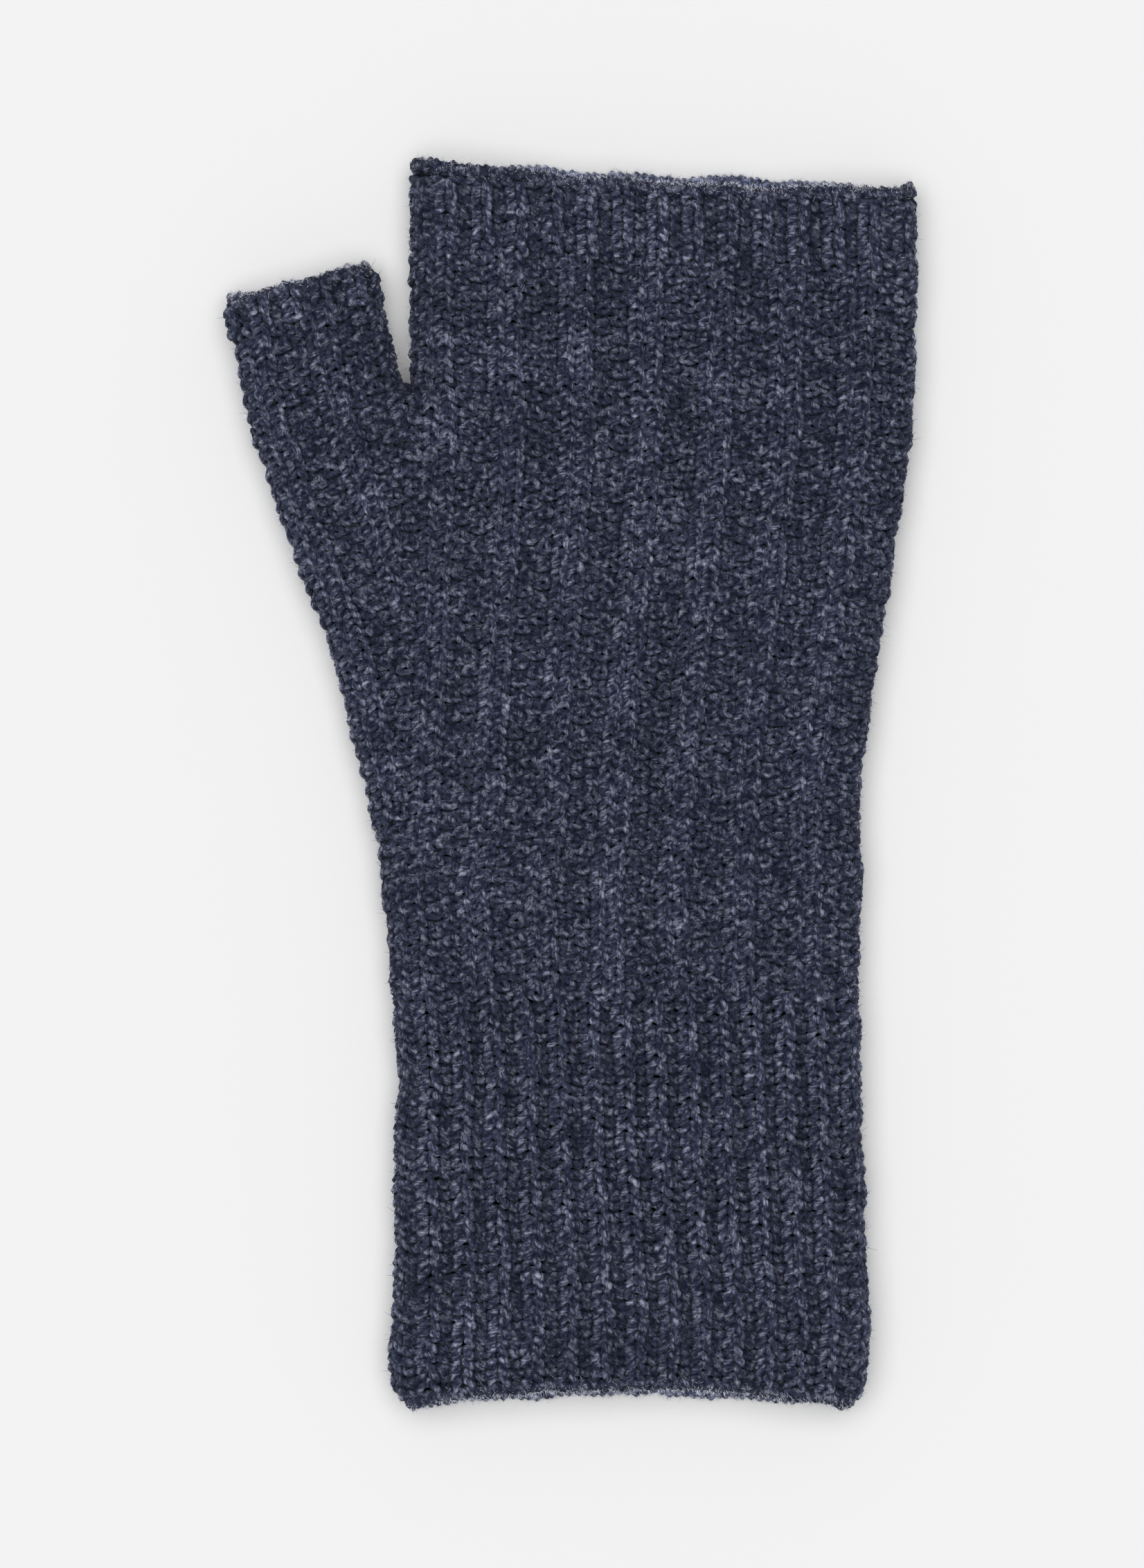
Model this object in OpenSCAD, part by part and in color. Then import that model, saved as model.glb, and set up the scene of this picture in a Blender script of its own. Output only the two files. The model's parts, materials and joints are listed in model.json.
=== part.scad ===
// Fingerless glove in ribbed wool, laid flat as it is stored.
// Length along Y with the fingers towards +Y, thumb towards -X, back of the hand up.
// The origin is at the middle of the footprint, on the surface that the glove lies on.

/* [Fabric] */
// Thickness of one knitted layer
fabric_t = 3; // [2:0.5:3.5]
// Height of the glove as it lies: two layers and the room between them
glove_h = 12; // [11:0.5:16]
// Width of the linked seam along a side
seam_w = 3; // [2:0.5:4]
// How far a knitted layer stops short of the outer face of its side seams
layer_inset = 1.5; // [0.5:0.5:2]
// Depth of the finished edge round an opening
edge_w = 2.4; // [1.8:0.2:3]

/* [Hand] */
// Height of the index-finger corner above the origin
index_corner_y = 107; // [104:1:112]
// How far the finger opening falls from the index finger to the little finger
opening_fall = 4.4; // [0:0.4:6]
// Depth of the ribbed band at the finger opening, with its edge
band_len = 15; // [10:1:22]

/* [Thumb] */
// Width of the thumb tube laid flat
thumb_w = 26.8; // [24:0.4:26.8]
// Length of the thumb tube beyond the crotch, with its edge
thumb_len = 22.4; // [16:0.8:28]
// How far the thumb leans away from the fingers, in degrees
thumb_lean = 14; // [13:0.5:18]
// Furthest that the thumb swings out from rest, in degrees
thumb_out = 20; // [0:5:25]

/* [Cuff] */
// Length of the ribbed cuff, with its edge
cuff_len = 71; // [50:1:90]
// How far the cuff's lower edge arches up at its middle
cuff_arch = 2.6; // [0:0.2:5]

/* [Joints] */
// Room between bodies that move on each other
joint_gap = 0.4; // [0.3:0.1:1]

/* [Hidden] */
$fn = 64;

knit = "#3c4257";
binding = "#4c5268";
linking = "#2a2f43";

wrist_y = -36;
index_x = -28;
little_x = 59.8;
yarn_r = 0.7;
yarn_end_len = 24;
lift = 0.1;
hem_steps = 6;

// Thumb side of the hand from the wrist to the foot of the thumb, as [x, y]
gusset_side = [[-31.5, wrist_y], [-32.2, -24], [-33.6, -11], [-36, 2.5], [-41, 20.5], [-47, 38], [-51.2, 50.5],
               [-55, 63]];
// Little-finger side of the hand, from the wrist to the ribbed band
little_side = [[49.8, wrist_y], [49.8, -2], [50.8, 7.5], [52.8, 21], [55.6, 37], [58.2, 54.5], [59.6, 75],
               [little_x, opening_y(little_x) - band_len]];
// The same two sides of the cuff, from its lower edge to the wrist
cuff_thumb_side = [[-31.8, wrist_y - cuff_len + edge_w], [-30.8, -76], [-30, -54], [-31.3, wrist_y - joint_gap]];
cuff_little_side = [[51.5, wrist_y - cuff_len + edge_w], [51, -74], [50.4, -54], [49.8, wrist_y - joint_gap]];

// The thumb turns about the middle of its foot, so its foot is a half circle in a round seat
thumb_r = thumb_w / 2;
seat_r = thumb_r + joint_gap;
thumb_at = [index_x - seat_r, 65.6];
core_h = glove_h - 2 * fabric_t;
cuff_mid_x = (cuff_thumb_side[0][0] + cuff_little_side[0][0]) / 2;
cuff_half_w = (cuff_little_side[0][0] - cuff_thumb_side[0][0]) / 2;

// Height of the finger opening at x
function opening_y(x) = index_corner_y - opening_fall * (x - index_x) / (little_x - index_x);
// Height of the cuff's arched lower edge at x
function hem_y(x) = wrist_y - cuff_len + cuff_arch * (1 - pow((x - cuff_mid_x) / cuff_half_w, 2));
// A list of points moved along X, and a list turned end for end
function shifted(points, dx) = [for (p = points) [p[0] + dx, p[1]]];
function backwards(points) = [for (i = [len(points) - 1 : -1 : 0]) points[i]];

module back_layer() {
    translate([0, 0, glove_h - fabric_t]) linear_extrude(fabric_t) children();
}

module palm_layer() {
    linear_extrude(fabric_t) children();
}

module between_layers() {
    translate([0, 0, fabric_t]) linear_extrude(core_h) children();
}

module in_thumb_frame() {
    translate([thumb_at[0], thumb_at[1], 0]) rotate(thumb_lean) children();
}

// Everything that the thumb passes over as it swings out, which the hand leaves free
module thumb_sweep() {
    in_thumb_frame() {
        circle(seat_r);
        for (turn = [0 : 5 : thumb_out])
            rotate(turn) translate([-seat_r, 0]) square([2 * seat_r, 2 * thumb_len]);
    }
}

// Strip of seam_w along a side; dx is positive where the glove lies towards +X of it
module side_strip(points, dx) {
    polygon(concat(points, backwards(shifted(points, dx))));
}

module hand_outline() {
    left = shifted(gusset_side, layer_inset);
    right = shifted(little_side, -layer_inset);
    index = index_x + layer_inset;
    difference() {
        polygon(concat(left, [[index, thumb_at[1] + 4], [index, opening_y(index) - band_len]], backwards(right)));
        intersection() {
            thumb_sweep();
            translate([index - 100, 0]) square([100, 200]);
        }
    }
}

module band_outline() {
    x0 = index_x + layer_inset;
    x1 = little_x - layer_inset;
    polygon([[x0, opening_y(x0) - band_len], [x1, opening_y(x1) - band_len],
             [x1, opening_y(x1) - edge_w], [x0, opening_y(x0) - edge_w]]);
}

module finger_edge_outline() {
    polygon([[index_x, opening_y(index_x) - edge_w], [little_x, opening_y(little_x) - edge_w],
             [little_x, opening_y(little_x)], [index_x, opening_y(index_x)]]);
}

module cuff_outline() {
    difference() {
        polygon(concat(shifted(cuff_thumb_side, layer_inset), backwards(shifted(cuff_little_side, -layer_inset))));
        below_hem();
    }
}

module cuff_edge_outline() {
    polygon(concat(hem_points(0), backwards(hem_points(edge_w))));
}

// Everything below the top of the cuff's finished edge
module below_hem() {
    low_y = wrist_y - 2 * cuff_len;
    polygon(concat(hem_points(edge_w), [[cuff_mid_x - cuff_half_w, low_y], [cuff_mid_x + cuff_half_w, low_y]]));
}

module thumb_outline() {
    circle(thumb_r);
    translate([-thumb_r, 0]) square([thumb_w, thumb_len - edge_w]);
}

// Points of the cuff's lower edge from the little-finger side to the thumb side, raised by up
function hem_points(up) =
    [for (i = [hem_steps : -1 : -hem_steps]) let (x = cuff_mid_x + cuff_half_w * i / hem_steps) [x, hem_y(x) + up]];

// A finished edge: a flat ring as high as the glove, open through the middle
module edge_ring(ring_w) {
    difference() {
        linear_extrude(glove_h) children();
        translate([-ring_w / 2, -edge_w, fabric_t]) cube([ring_w, 3 * edge_w, core_h]);
    }
}

// A woven-in end of yarn, running down from its top end
module yarn_end() {
    translate([0, 0, fabric_t + yarn_r + lift]) rotate([90, 0, 0]) cylinder(r = yarn_r, h = yarn_end_len);
}

module hand_back() { color(knit) back_layer() hand_outline(); }
module hand_palm() { color(knit) palm_layer() hand_outline(); }
module finger_band_back() { color(knit) back_layer() band_outline(); }
module finger_band_palm() { color(knit) palm_layer() band_outline(); }

module finger_edge() {
    inner_w = little_x - index_x - 2 * seam_w;
    color(binding) difference() {
        linear_extrude(glove_h) finger_edge_outline();
        translate([index_x + seam_w, 0, fabric_t]) cube([inner_w, 2 * index_corner_y, core_h]);
    }
}

module little_finger_seam() {
    top = [[little_x, opening_y(little_x) - edge_w]];
    color(linking) between_layers() side_strip(concat(little_side, top), -seam_w);
}

module index_finger_seam() {
    foot_y = thumb_at[1] + 3;
    color(linking) between_layers()
        polygon([[index_x, foot_y], [index_x + seam_w, foot_y],
                 [index_x + seam_w, opening_y(index_x + seam_w) - edge_w], [index_x, opening_y(index_x) - edge_w]]);
}

module gusset_seam() {
    color(linking) between_layers() difference() {
        side_strip(gusset_side, seam_w);
        thumb_sweep();
    }
}

module crotch_stitches() {
    color(binding) between_layers()
        translate([index_x, thumb_at[1] - 1]) square([seam_w, 4]);
}

module finger_yarn_end() {
    x = little_x - seam_w - 2 * yarn_r;
    color(binding) translate([x, opening_y(x) - edge_w - 1, 0]) yarn_end();
}

module thumb_back() { color(knit) in_thumb_frame() back_layer() thumb_outline(); }
module thumb_palm() { color(knit) in_thumb_frame() palm_layer() thumb_outline(); }

module thumb_edge() {
    color(binding) in_thumb_frame() translate([0, thumb_len - edge_w, 0])
        edge_ring(thumb_w - 2 * seam_w) translate([-thumb_r, 0]) square([thumb_w, edge_w]);
}

module thumb_outer_seam() {
    color(linking) in_thumb_frame() between_layers()
        translate([-thumb_r, 0]) square([seam_w, thumb_len - edge_w]);
}

module thumb_inner_seam() {
    color(linking) in_thumb_frame() between_layers()
        translate([thumb_r - seam_w, 0]) square([seam_w, thumb_len - edge_w]);
}

module thumb_yarn_end() {
    color(binding) in_thumb_frame()
        translate([-thumb_r + seam_w + yarn_r + lift, thumb_len - edge_w - 1, 0]) yarn_end();
}

module cuff_back() { color(knit) back_layer() cuff_outline(); }
module cuff_palm() { color(knit) palm_layer() cuff_outline(); }

module cuff_edge() {
    color(binding) difference() {
        linear_extrude(glove_h) cuff_edge_outline();
        translate([cuff_mid_x - cuff_half_w + seam_w, 2 * wrist_y - cuff_len, fabric_t])
            cube([2 * (cuff_half_w - seam_w), cuff_len, core_h]);
    }
}

module cuff_little_finger_seam() {
    color(linking) between_layers() difference() {
        side_strip(cuff_little_side, -seam_w);
        below_hem();
    }
}

module cuff_thumb_seam() {
    color(linking) between_layers() difference() {
        side_strip(cuff_thumb_side, seam_w);
        below_hem();
    }
}

module cuff_yarn_end() {
    x = cuff_mid_x - cuff_half_w + seam_w + 3 * yarn_r;
    color(binding) translate([x, hem_y(x) + edge_w + 1 + yarn_end_len, 0]) yarn_end();
}

hand_back();
hand_palm();
finger_band_back();
finger_band_palm();
finger_edge();
little_finger_seam();
index_finger_seam();
gusset_seam();
crotch_stitches();
finger_yarn_end();
thumb_back();
thumb_palm();
thumb_edge();
thumb_outer_seam();
thumb_inner_seam();
thumb_yarn_end();
cuff_back();
cuff_palm();
cuff_edge();
cuff_little_finger_seam();
cuff_thumb_seam();
cuff_yarn_end();
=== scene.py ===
"""Looks of a knitted fingerless glove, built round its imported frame.

Every stitch is a loop of yarn. A knitted layer is a sleeve: a closed surface given by a wale coordinate
that runs round the glove and a row coordinate that runs along it. A row of stitches is one tube of yarn
carried along that surface. Lengths are in millimetres until a mesh is made, where they become metres.
"""

import json

import bpy
import numpy as np
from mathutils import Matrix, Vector


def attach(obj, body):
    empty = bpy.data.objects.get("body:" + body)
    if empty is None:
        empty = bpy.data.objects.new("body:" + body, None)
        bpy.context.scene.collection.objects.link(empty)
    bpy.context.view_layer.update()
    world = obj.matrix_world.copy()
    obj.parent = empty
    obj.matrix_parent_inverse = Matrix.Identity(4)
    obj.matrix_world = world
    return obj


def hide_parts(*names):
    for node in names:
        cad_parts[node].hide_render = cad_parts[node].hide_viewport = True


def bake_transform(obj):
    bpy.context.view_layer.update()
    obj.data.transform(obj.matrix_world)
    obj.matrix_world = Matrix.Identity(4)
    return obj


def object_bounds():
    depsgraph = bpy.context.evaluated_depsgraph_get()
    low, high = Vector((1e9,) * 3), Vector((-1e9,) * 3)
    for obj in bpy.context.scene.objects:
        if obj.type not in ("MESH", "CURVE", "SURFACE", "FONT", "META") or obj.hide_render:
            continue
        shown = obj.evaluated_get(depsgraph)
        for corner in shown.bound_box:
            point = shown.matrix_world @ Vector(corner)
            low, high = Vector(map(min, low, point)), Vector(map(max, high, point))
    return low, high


bl_info = {
    "name": "Fingerless Glove",
    "version": (1, 0, 0),
    "blender": (4, 5, 0),
    "location": "3D View > Sidebar > Glove",
    "description": "Builds a knitted fingerless glove stitch by stitch round its frame",
    "category": "Object",
}

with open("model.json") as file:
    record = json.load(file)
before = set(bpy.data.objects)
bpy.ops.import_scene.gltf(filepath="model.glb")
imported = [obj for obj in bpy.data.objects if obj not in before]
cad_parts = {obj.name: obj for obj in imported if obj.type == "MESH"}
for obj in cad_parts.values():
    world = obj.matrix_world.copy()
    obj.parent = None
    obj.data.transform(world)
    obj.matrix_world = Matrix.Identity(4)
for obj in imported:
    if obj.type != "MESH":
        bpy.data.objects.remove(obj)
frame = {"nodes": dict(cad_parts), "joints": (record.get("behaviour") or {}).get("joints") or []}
CAD_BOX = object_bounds()
MM = 0.001


# ---------------------------------------------------------------- the frame's own sizes

def corners(node):
    """All corners of a frame node in millimetres, as an array of x, y, z."""
    mesh = frame["nodes"][node].data
    co = np.zeros(len(mesh.vertices) * 3)
    mesh.vertices.foreach_get("co", co)
    return co.reshape(-1, 3) / MM


def joint(name):
    """The frame's joint of that name."""
    return next(j for j in frame["joints"] if j["name"] == name)


def side_line(node, outward, y_max=1e9):
    """Outer line of a side strip: at each height where the strip has corners, its corner furthest out.

    A height whose corner lies more than a millimetre inside the line between its neighbours is left out.
    """
    co = corners(node)
    co = co[co[:, 1] <= y_max]
    heights = np.unique(co[:, 1].round(2))
    x = np.array([outward * (outward * co[np.abs(co[:, 1] - y) < 0.02, 0]).max() for y in heights])
    inside = np.zeros(len(x), bool)
    inside[1:-1] = outward * (x[:-2] + x[2:]) / 2 - outward * x[1:-1] > 1
    return np.column_stack([x, heights])[~inside]


def smooth_line(points, window=9.0, step=0.5):
    """x as a smooth function of y through a line's points.

    The line is straight between its points and carried on past both ends. A running Hann-weighted mean over
    window millimetres then rounds it.
    """
    y = np.arange(points[0, 1] - window, points[-1, 1] + window, step)
    low = points[np.searchsorted(points[:, 1], points[0, 1] + window)]
    high = points[np.searchsorted(points[:, 1], points[-1, 1] - window) - 1]
    slope_0 = (low[0] - points[0, 0]) / (low[1] - points[0, 1])
    slope_1 = (points[-1, 0] - high[0]) / (points[-1, 1] - high[1])
    x = np.interp(y, points[:, 1], points[:, 0])
    x = np.where(y < points[0, 1], points[0, 0] + slope_0 * (y - points[0, 1]), x)
    x = np.where(y > points[-1, 1], points[-1, 0] + slope_1 * (y - points[-1, 1]), x)
    kernel = np.hanning(int(window / step) | 1)
    pad = len(kernel) // 2
    x = np.convolve(np.pad(x, pad, mode="reflect", reflect_type="odd"), kernel / kernel.sum(), mode="valid")
    return lambda at: np.interp(at, y, x)


class Glove:
    """The sizes that all pieces share, in millimetres, read from the frame."""

    pivot = np.array(joint("thumb_swing")["pos_m"]) / MM
    wrist_y = joint("wrist_fold")["pos_m"][1] / MM
    height = (CAD_BOX[1][2] - CAD_BOX[0][2]) / MM
    hem_y = CAD_BOX[0][1] / MM
    foot = corners("crotch_stitches")
    index_x = foot[:, 0].min()
    top_left = corners("finger_edge")[:, 1].max()
    little_x = corners("finger_edge")[:, 0].max()
    opening = corners("finger_edge")
    top_right = opening[opening[:, 0] > little_x - 0.1, 1].max()
    fall = (top_right - top_left) / (little_x - index_x)
    band = corners("finger_band_back")
    band_y = band[band[:, 0] < index_x + 3, 1].min()
    edge = corners("cuff_edge")
    hem_mid_x = (edge[:, 0].min() + edge[:, 0].max()) / 2
    hem_half = (edge[:, 0].max() - edge[:, 0].min()) / 2
    hem_arch = edge[np.abs(edge[:, 0] - hem_mid_x) < 1, 1].min() - hem_y
    tip = corners("thumb_edge")
    tip_left = tip[tip[:, 0].argmin()]
    tip_right = tip[tip[:, 1].argmax()]
    thumb_half = np.hypot(*(tip_right - tip_left)[:2]) / 2
    thumb_across = (tip_right - tip_left)[:2] / (2 * thumb_half)
    thumb_along = np.array([-thumb_across[1], thumb_across[0]])
    thumb_len = (tip_left[:2] - pivot[:2]) @ thumb_along
    crotch = pivot[:2] + thumb_half * thumb_across
    foot_left = pivot[:2] - thumb_half * thumb_across


LAYER_HALF = 1.4  # half of a knitted layer's thickness
STITCH_PROUD = 0.12  # how far the stitches on a side fold stand out past the layer's face
CAP = Glove.height / 2 - LAYER_HALF  # radius of a side fold, at the layer's middle
WALES = 30  # wales across the back, and again across the palm
GUSSET_Y = Glove.wrist_y + 16  # height at which the gusset's first wale begins
CROTCH_Y = Glove.crotch[1]  # height at which the thumb leaves the hand
THUMB_TOP = CROTCH_Y + Glove.thumb_len  # row coordinate of the thumb's opening
THUMB_SWELL = 1.2  # how far the fabric swells outwards at the thumb's foot
THUMB_GAP = 0.9  # how far the thumb's inner side stands off from the hand
HEM_CORNER = (5.0, 6.0)  # width and height of the quarter ellipse that rounds a corner of the hem
HEM_ARCH_END = 30  # height above the hem at which its arch has died out
HEM_DRIFT = 0.8  # sideways drift of the cuff's wales at the hem, in wales
THUMB_BEND = 18  # length over which the thumb's root bends
WRIST_BEND = 30  # length over which the wrist bends

# Bulges in the outline, each with its size towards +X, its height and its half width. The thumb side is
# fuller at the thumb's foot and drawn in below the wrist. The little-finger side is drawn in at the knuckles,
# and is fuller at the wrist and near the hem.
THUMB_SIDE_BULGES = ((-THUMB_SWELL, Glove.foot_left[1] - 6, 20), (0.9, Glove.wrist_y - 12, 8))
LITTLE_SIDE_BULGES = ((-0.6, CROTCH_Y - 24, 14), (0.5, Glove.wrist_y + 19, 14), (0.7, Glove.hem_y + 18, 6))

# How far the rows stop short of each opening, on the back and on the palm, so that the palm's edge shows past
# the back's.
SHORT = {"cuff": (("back", 2.7), ("palm", 1.2)), "finger": (("back", 3.4), ("palm", 1.6)),
         "thumb": (("back", 2.6), ("palm", 1.4))}


def hem_corner(y):
    """How far a corner of the hem is rounded off at height y, as a quarter of an ellipse."""
    width, height = HEM_CORNER
    share = np.clip(1 - (y - Glove.hem_y) / height, 0, 1)
    return width * (1 - np.sqrt(1 - share**2))


def uneven(y, at):
    """A side's small waves, as three sines that start from a phase of the side's own."""
    return 0.12 * np.sin(y / 2.1 + at) + 0.14 * np.sin(y / 4.3 + 2 * at) + 0.10 * np.sin(y / 1.13 + 3 * at)


def swell(y, bulges):
    """Sum of bulges in the fabric's outline, each a bell curve of a given size, height and half width."""
    return sum(size * np.exp(-((y - at) / wide) ** 2) for size, at, wide in bulges)


def lines(inset):
    """Left and right lines of the glove and the line where the gusset's wales begin, moved in by inset.

    Each side is its smooth line with its bulges, the hem's rounded corner and small waves. The gusset begins
    on a straight line from the left side to the index finger's corner.
    """
    thumb_side = np.vstack([
        side_line("cuff_thumb_seam", -1), side_line("gusset_seam", -1, Glove.foot_left[1] - 12),
        Glove.foot_left, Glove.foot_left + Glove.thumb_len * Glove.thumb_along,
    ])
    little_side = np.vstack([side_line("cuff_little_finger_seam", 1), side_line("little_finger_seam", 1)])
    sides = (thumb_side, little_side)
    smooth_left, smooth_right = (smooth_line(side[side[:, 1].argsort()]) for side in sides)
    start = smooth_left(GUSSET_Y) + swell(GUSSET_Y, THUMB_SIDE_BULGES) + inset

    def left(y):
        """x of the thumb side."""
        return smooth_left(y) + swell(y, THUMB_SIDE_BULGES) + inset + hem_corner(y) + uneven(y, 1.0)

    def right(y):
        """x of the little-finger side."""
        return smooth_right(y) + swell(y, LITTLE_SIDE_BULGES) - inset - hem_corner(y) + uneven(y, 2.6)

    def birth(y):
        """x where the gusset's wales begin."""
        share = np.clip((y - GUSSET_Y) / (CROTCH_Y - GUSSET_Y), 0, 1.2)
        return start + (Glove.index_x - start) * share + uneven(y, 1.0) * np.clip(1 - share, 0, 1)

    return left, right, birth


LEFT, RIGHT, BIRTH = lines(LAYER_HALF + STITCH_PROUD)


# ---------------------------------------------------------------- the sleeves

def ease(x):
    """Smooth step from 0 to 1."""
    x = np.clip(x, 0, 1)
    return x * x * (3 - 2 * x)


def fold(t, width):
    """Point and outward normal on half of a flattened tube's section, at arc length t from its left edge.

    The section is a quarter circle of radius CAP, a flat stretch, and a quarter circle down to the right
    edge. It returns the distance from the left edge, the height above the tube's middle, and the normal's two
    parts.
    """
    quarter = np.pi / 2 * CAP
    flat = width - 2 * CAP
    a = np.clip(t / CAP, 0, np.pi / 2)
    b = np.clip((t - quarter - flat) / CAP, 0, np.pi / 2)
    x = CAP * (1 - np.cos(a)) + np.clip(t - quarter, 0, flat) + CAP * np.sin(b)
    z = CAP * np.sin(a) + CAP * (np.cos(b) - 1)
    nx = -np.cos(a) * (b <= 0) + np.sin(b)
    nz = np.where(b > 0, np.cos(b), np.sin(a))
    return x, z, nx, nz


def half_round(width):
    """Arc length of half of a flattened tube's section."""
    return width - 2 * CAP + np.pi * CAP


def arc_of(dx):
    """Arc length from the left edge to the point dx in from it, on the quarter circle or past it."""
    return np.where(dx < CAP, CAP * np.arccos(np.clip(1 - dx / CAP, -1, 1)), dx - CAP + np.pi / 2 * CAP)


def born(y):
    """Share of the gusset's arc that its wales fill at height y, which grows smoothly from its first row."""
    return ease((y - GUSSET_Y) / 14)


def parted(y_row):
    """Share by which a row's hand and thumb have parted: 0 below the crotch, and 1 from just past it."""
    return ease((y_row - CROTCH_Y + 4.5) / 5.0)


def mixed(joined, alone, apart):
    """Parts of a section, each mixed from its value on the joined glove to its value on a tube of its own."""
    return [a * (1 - apart) + b * apart for a, b in zip(joined, alone)]


def waves(x, y):
    """Height of the fabric's soft unevenness: a few long waves that cross each other."""
    return (0.30 * np.sin(x / 13.0 + y / 31.0 + 0.7) + 0.22 * np.sin(y / 17.0 - x / 23.0 + 2.1)
            + 0.14 * np.sin(x / 7.5 - y / 9.5 + 4.0) + 0.10 * np.sin(y / 5.5 + x / 11.0))


def place_row(x, y_row):
    """y of a row's point at x: the row's own height, tilted towards the opening and arched at the hem."""
    tilt = Glove.fall * ease((y_row - Glove.wrist_y) / (Glove.band_y - Glove.wrist_y)) * (x - Glove.index_x)
    across = np.clip((x - Glove.hem_mid_x) / Glove.hem_half, -1, 1)
    arch = Glove.hem_arch * (1 - across**2) * ease((Glove.hem_y + HEM_ARCH_END - y_row) / HEM_ARCH_END)
    return y_row + tilt + arch


def body_surface(q, y_row):
    """Point and normal on the hand and cuff sleeve at wale q (0 and 2 WALES at the thumb side) in a row.

    Below the crotch the section is the whole glove's, and the hand's wales take the stretch past the line
    where the gusset begins. Above it the hand has a section of its own. The two are mixed over a few rows.
    """
    q = np.mod(q, 2 * WALES)
    front = q <= WALES
    share = np.where(front, q, 2 * WALES - q) / WALES
    side = np.where(front, 1.0, -1.0)
    right = RIGHT(y_row)

    left = LEFT(np.minimum(y_row, Glove.foot_left[1]))
    start = arc_of(np.maximum(BIRTH(y_row) - left, 0)) * born(y_row)
    x, *joined = fold(start + share * (half_round(right - left) - start), right - left)
    joined = (x + left, *joined)

    own_left = Glove.index_x + LAYER_HALF
    x, *alone = fold(share * half_round(right - own_left), right - own_left)
    alone = (x + own_left, *alone)

    x, z, nx, nz = mixed(joined, alone, parted(y_row))
    y = place_row(x, y_row)
    z = z + waves(x, y) * nz * front
    size = np.hypot(nx, nz) + 1e-9
    point = np.stack([x, y, Glove.height / 2 + side * z], -1)
    normal = np.stack([nx / size, np.zeros_like(nx), side * nz / size], -1)
    return point, normal


def cuff_surface(q, y_row):
    """The body's sleeve, with its wales drifting sideways between the folds, by more from the wrist down."""
    drift = HEM_DRIFT * ease((Glove.wrist_y - y_row) / (Glove.wrist_y - Glove.hem_y))
    return body_surface(q + drift * np.sin(np.pi * q / WALES), y_row)


def gusset_ends(y_row):
    """Outer and inner end of a gusset row in the plane, and the height of its inner end, up to the crotch.

    The outer end lies lower than the inner one, by a drop that grows with a power of the height.
    """
    low = np.minimum(y_row, CROTCH_Y)
    drop = (CROTCH_Y - Glove.foot_left[1]) * np.clip((low - GUSSET_Y) / (CROTCH_Y - GUSSET_Y), 0, 1) ** 1.4
    outer = np.stack([LEFT(low - drop), low - drop], -1)
    inner = np.stack([np.maximum(BIRTH(low), outer[..., 0]), low], -1)
    return outer, inner, low


def distance(a, b):
    """Distance between two points in the plane, or two arrays of them."""
    return np.hypot(*np.moveaxis(b - a, -1, 0))


def thumb_surface(q, y_row, count):
    """Point and normal on the gusset and thumb sleeve at wale q, counted from the thumb's outer edge.

    q is positive on the back and negative on the palm. A row runs from the glove's left line to the line
    where the gusset begins, and past the crotch from the thumb's outer edge to its inner edge. y_row is the
    row's height at its inner end up to the crotch, and the distance along the thumb past it. count is the
    row's wales.
    """
    side = np.where(q >= 0, 1.0, -1.0)
    up = y_row - CROTCH_Y
    apart = parted(y_row)
    outer, inner, low = gusset_ends(y_row)
    rise = np.maximum(up, 0)[..., None] * Glove.thumb_along
    straight = ease(up / Glove.thumb_len)[..., None]
    outer = outer + rise + THUMB_SWELL * straight * Glove.thumb_across
    inner = inner + rise - ((LAYER_HALF + THUMB_GAP) * apart)[..., None] * Glove.thumb_across
    width = distance(outer, inner)
    across = (inner - outer) / np.maximum(width, 1e-6)[..., None]

    share = np.abs(q) / np.maximum(count, 1)
    joined = fold(share * arc_of(width) * born(low), np.full_like(width, 1e3))
    alone = fold(share * half_round(width), width)
    x, z, nx, nz = mixed(joined, alone, apart)
    flat = outer + across * x[..., None]
    z = z + waves(flat[..., 0], flat[..., 1]) * nz * (side > 0)
    size = np.hypot(nx, nz) + 1e-9
    point = np.concatenate([flat, (Glove.height / 2 + side * z)[..., None]], -1)
    normal = np.concatenate([across * (nx / size)[..., None], (side * nz / size)[..., None]], -1)
    return point, normal


def thumb_span(y_row):
    """Arc length of the gusset's or thumb's half of a row."""
    y = np.array([float(y_row)])
    outer, inner, low = gusset_ends(y)
    apart = parted(y)
    width = distance(outer, inner) - (LAYER_HALF + THUMB_GAP) * apart
    return float((arc_of(width) * born(low) * (1 - apart) + half_round(width) * apart)[0])


# ---------------------------------------------------------------- stitches

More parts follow.
